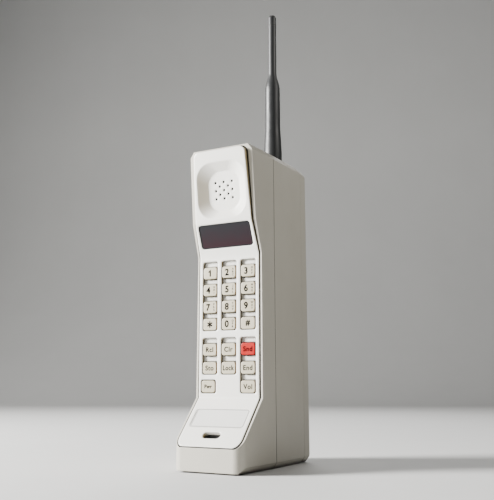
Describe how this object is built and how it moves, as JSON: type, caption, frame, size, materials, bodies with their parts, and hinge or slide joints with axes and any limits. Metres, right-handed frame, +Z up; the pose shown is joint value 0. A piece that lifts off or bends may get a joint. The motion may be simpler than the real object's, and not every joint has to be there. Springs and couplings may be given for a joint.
{
  "type": "early handheld mobile phone",
  "caption": "Tall early handheld mobile phone with a recessed key face, ear dish, forward chin, clip-on back battery and screw-in rubber whip antenna.",
  "frame": {"origin": "middle of the housing's footprint, on the surface the phone stands on", "axes": "+Z up along the phone to the antenna, the key face looks along -Y, the battery is at +Y, +X is the side the antenna is nearer"},
  "size_m": [0.0474, 0.09, 0.302],
  "materials": {
    "housing": "fine moulded texture, warm light grey",
    "seal": "matt dark brown",
    "panel": "smooth bright off-white",
    "lens": "smoked dark red, polished",
    "plate": "satin, blank, thin raised border",
    "grey_rubber": "matt",
    "circuit_board": "green solder mask",
    "numeral_module": "dark red, clear moulded",
    "felt": "black felt",
    "dark_steel": "blackened",
    "bright_steel": "satin nickel",
    "casting": "as cast",
    "chip_black": "moulded black",
    "filter_block": "silver plated",
    "brass": "plated",
    "whip_rubber": "semi-gloss moulded black",
    "cell_sleeve": "shrunk sleeve, plain",
    "latch_grey": "ribbed dark grey",
    "key_cream": "cream, slightly translucent",
    "key_red": "orange red, slightly translucent"
  },
  "bodies": {
    "housing": {"accessory_connector": "chip_black", "antenna_lead": "whip_rubber", "antenna_socket": "bright_steel", "board_spacers": "brass", "chassis_frame": "casting", "connector_contacts": "brass", "contact_plungers": "brass", "display_window": "lens", "dome_sheet": "grey_rubber", "duplexer": "filter_block", "earpiece_felt": "felt", "earpiece_speaker": "dark_steel", "face_panel": "panel", "front_housing": "housing", "housing_screws": "dark_steel", "keypad_board": "circuit_board", "led_display": "numeral_module", "logic_board": "circuit_board", "logic_chips": "chip_black", "microphone": "bright_steel", "microphone_boot": "grey_rubber", "nameplate": "plate", "power_amplifier": "casting", "radio_board": "circuit_board", "rear_housing": "housing", "ringer": "chip_black", "seam_gasket": "seal", "shield_cans": "bright_steel"},
    "battery": {"battery_case": "housing", "battery_lid": "chip_black", "battery_cells": "cell_sleeve", "cell_straps": "bright_steel", "battery_contacts": "brass"},
    "latch": {"battery_latch": "latch_grey"},
    "antenna": {"antenna_whip": "whip_rubber", "antenna_stud": "brass"},
    "key_1": {"key_1": "key_cream"},
    "key_2": {"key_2": "key_cream"},
    "key_3": {"key_3": "key_cream"},
    "key_4": {"key_4": "key_cream"},
    "key_5": {"key_5": "key_cream"},
    "key_6": {"key_6": "key_cream"},
    "key_7": {"key_7": "key_cream"},
    "key_8": {"key_8": "key_cream"},
    "key_9": {"key_9": "key_cream"},
    "key_star": {"key_star": "key_cream"},
    "key_0": {"key_0": "key_cream"},
    "key_hash": {"key_hash": "key_cream"},
    "key_recall": {"key_recall": "key_cream"},
    "key_clear": {"key_clear": "key_cream"},
    "key_send": {"key_send": "key_red"},
    "key_store": {"key_store": "key_cream"},
    "key_lock": {"key_lock": "key_cream"},
    "key_end": {"key_end": "key_cream"},
    "key_power": {"key_power": "key_cream"},
    "key_volume": {"key_volume": "key_cream"}
  },
  "joints": [
    {"name": "battery_slide", "type": "slide", "parent": "housing", "child": "battery", "axis": [0, 1, 0], "range_m": [0, 0.03]},
    {"name": "latch_slide", "type": "slide", "parent": "battery", "child": "latch", "axis": [0, 0, -1], "range_m": [0, 0.0025], "stiffness_N_per_m": 600, "springref_m": -0.0005},
    {"name": "antenna_turn", "type": "hinge", "parent": "housing", "child": "antenna", "pos_m": [0.01, 0.02, 0.1945], "axis": [0, 0, 1], "range_deg": [0, 1080]},
    {"name": "key_1_press", "type": "slide", "parent": "housing", "child": "key_1", "axis": [0, 1, 0], "range_m": [0, 0.001], "stiffness_N_per_m": 700, "springref_m": -0.0003},
    {"name": "key_2_press", "type": "slide", "parent": "housing", "child": "key_2", "axis": [0, 1, 0], "range_m": [0, 0.001], "stiffness_N_per_m": 700, "springref_m": -0.0003},
    {"name": "key_3_press", "type": "slide", "parent": "housing", "child": "key_3", "axis": [0, 1, 0], "range_m": [0, 0.001], "stiffness_N_per_m": 700, "springref_m": -0.0003},
    {"name": "key_4_press", "type": "slide", "parent": "housing", "child": "key_4", "axis": [0, 1, 0], "range_m": [0, 0.001], "stiffness_N_per_m": 700, "springref_m": -0.0003},
    {"name": "key_5_press", "type": "slide", "parent": "housing", "child": "key_5", "axis": [0, 1, 0], "range_m": [0, 0.001], "stiffness_N_per_m": 700, "springref_m": -0.0003},
    {"name": "key_6_press", "type": "slide", "parent": "housing", "child": "key_6", "axis": [0, 1, 0], "range_m": [0, 0.001], "stiffness_N_per_m": 700, "springref_m": -0.0003},
    {"name": "key_7_press", "type": "slide", "parent": "housing", "child": "key_7", "axis": [0, 1, 0], "range_m": [0, 0.001], "stiffness_N_per_m": 700, "springref_m": -0.0003},
    {"name": "key_8_press", "type": "slide", "parent": "housing", "child": "key_8", "axis": [0, 1, 0], "range_m": [0, 0.001], "stiffness_N_per_m": 700, "springref_m": -0.0003},
    {"name": "key_9_press", "type": "slide", "parent": "housing", "child": "key_9", "axis": [0, 1, 0], "range_m": [0, 0.001], "stiffness_N_per_m": 700, "springref_m": -0.0003},
    {"name": "key_star_press", "type": "slide", "parent": "housing", "child": "key_star", "axis": [0, 1, 0], "range_m": [0, 0.001], "stiffness_N_per_m": 700, "springref_m": -0.0003},
    {"name": "key_0_press", "type": "slide", "parent": "housing", "child": "key_0", "axis": [0, 1, 0], "range_m": [0, 0.001], "stiffness_N_per_m": 700, "springref_m": -0.0003},
    {"name": "key_hash_press", "type": "slide", "parent": "housing", "child": "key_hash", "axis": [0, 1, 0], "range_m": [0, 0.001], "stiffness_N_per_m": 700, "springref_m": -0.0003},
    {"name": "key_recall_press", "type": "slide", "parent": "housing", "child": "key_recall", "axis": [0, 1, 0], "range_m": [0, 0.001], "stiffness_N_per_m": 700, "springref_m": -0.0003},
    {"name": "key_clear_press", "type": "slide", "parent": "housing", "child": "key_clear", "axis": [0, 1, 0], "range_m": [0, 0.001], "stiffness_N_per_m": 700, "springref_m": -0.0003},
    {"name": "key_send_press", "type": "slide", "parent": "housing", "child": "key_send", "axis": [0, 1, 0], "range_m": [0, 0.001], "stiffness_N_per_m": 700, "springref_m": -0.0003},
    {"name": "key_store_press", "type": "slide", "parent": "housing", "child": "key_store", "axis": [0, 1, 0], "range_m": [0, 0.001], "stiffness_N_per_m": 700, "springref_m": -0.0003},
    {"name": "key_lock_press", "type": "slide", "parent": "housing", "child": "key_lock", "axis": [0, 1, 0], "range_m": [0, 0.001], "stiffness_N_per_m": 700, "springref_m": -0.0003},
    {"name": "key_end_press", "type": "slide", "parent": "housing", "child": "key_end", "axis": [0, 1, 0], "range_m": [0, 0.001], "stiffness_N_per_m": 700, "springref_m": -0.0003},
    {"name": "key_power_press", "type": "slide", "parent": "housing", "child": "key_power", "axis": [0, 1, 0], "range_m": [0, 0.001], "stiffness_N_per_m": 700, "springref_m": -0.0003},
    {"name": "key_volume_press", "type": "slide", "parent": "housing", "child": "key_volume", "axis": [0, 1, 0], "range_m": [0, 0.001], "stiffness_N_per_m": 700, "springref_m": -0.0003}
  ]
}
